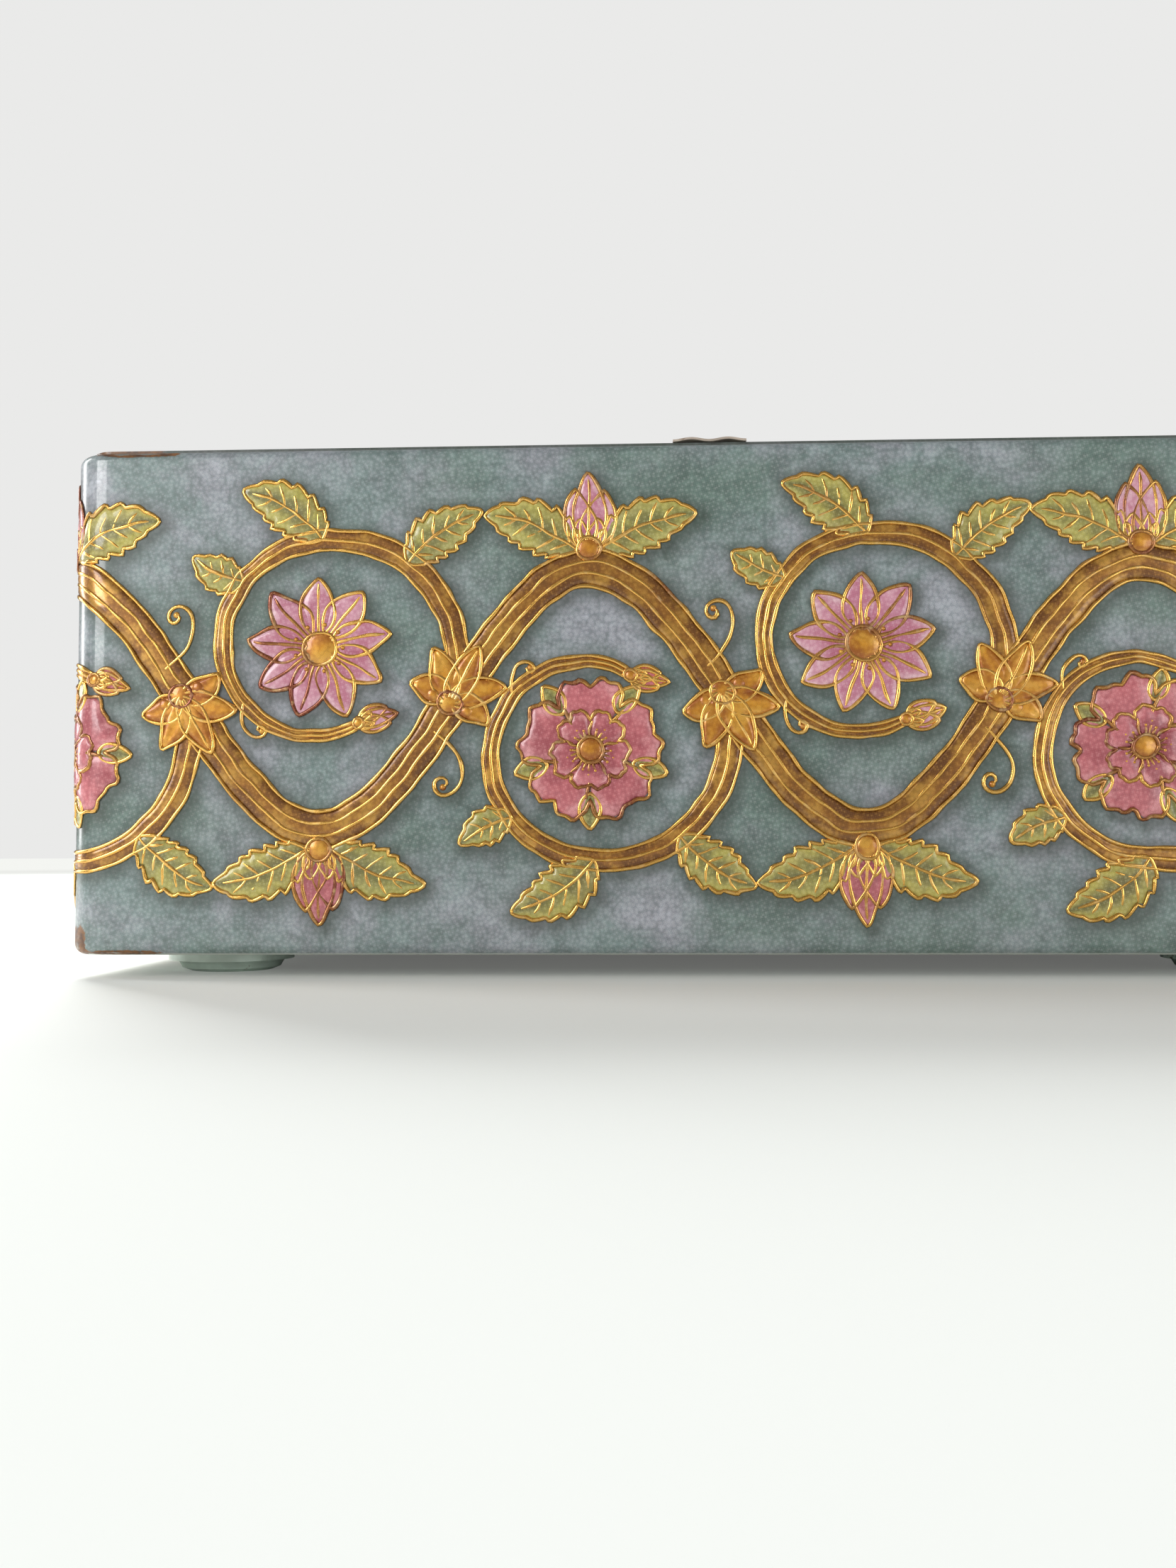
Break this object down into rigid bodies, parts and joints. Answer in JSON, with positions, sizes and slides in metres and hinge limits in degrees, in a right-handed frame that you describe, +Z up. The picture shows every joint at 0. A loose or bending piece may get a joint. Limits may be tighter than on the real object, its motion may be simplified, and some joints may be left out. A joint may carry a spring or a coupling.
{
  "type": "metal lunch box",
  "caption": "Tinplate lunch box with a lid hinged on its rim wire, a folding wire bail handle and stamped feet, decorated with a raised floral print.",
  "frame": {"origin": "middle of the box's footprint, on the plane its feet stand on", "axes": "+X to the right along the length, +Y to the back where the lid is hinged, +Z up"},
  "size_m": [0.18, 0.118, 0.0775],
  "materials": {
    "printed_tin": "glossy lacquered print on embossed tinplate, blue-grey ground",
    "lacquered_tin": "plain grey-green lacquer on tinplate",
    "bare_tinplate": "aged bare tinplate",
    "worn_tinplate": "tarnished brown-grey tinplate",
    "tinned_rivet": "tinned rivet steel",
    "steel_wire": "drawn steel wire, handled"
  },
  "bodies": {
    "box": {"body_wall": "printed_tin", "rim_wire": "steel_wire", "base_panel": "lacquered_tin", "foot_front_left": "lacquered_tin", "foot_front_right": "lacquered_tin", "foot_rear_left": "lacquered_tin", "foot_rear_right": "lacquered_tin", "foot_rivets": "tinned_rivet"},
    "lid": {"lid_panel": "printed_tin", "lid_liner": "bare_tinplate", "lift_tab": "worn_tinplate", "hinge_strap_left": "bare_tinplate", "hinge_strap_right": "bare_tinplate", "hinge_rivets": "tinned_rivet", "ear_left": "bare_tinplate", "ear_right": "bare_tinplate", "ear_rivets": "tinned_rivet", "ear_washers": "tinned_rivet"},
    "handle": {"bail_handle": "steel_wire"}
  },
  "joints": [
    {"name": "lid_hinge", "type": "hinge", "parent": "box", "child": "lid", "pos_m": [0, 0.05765, 0.07085], "axis": [-1, 0, 0], "range_deg": [0, 105]},
    {"name": "handle_pivot", "type": "hinge", "parent": "lid", "child": "handle", "pos_m": [0, 0, 0.0754], "axis": [1, 0, 0], "range_deg": [0, 180]}
  ]
}
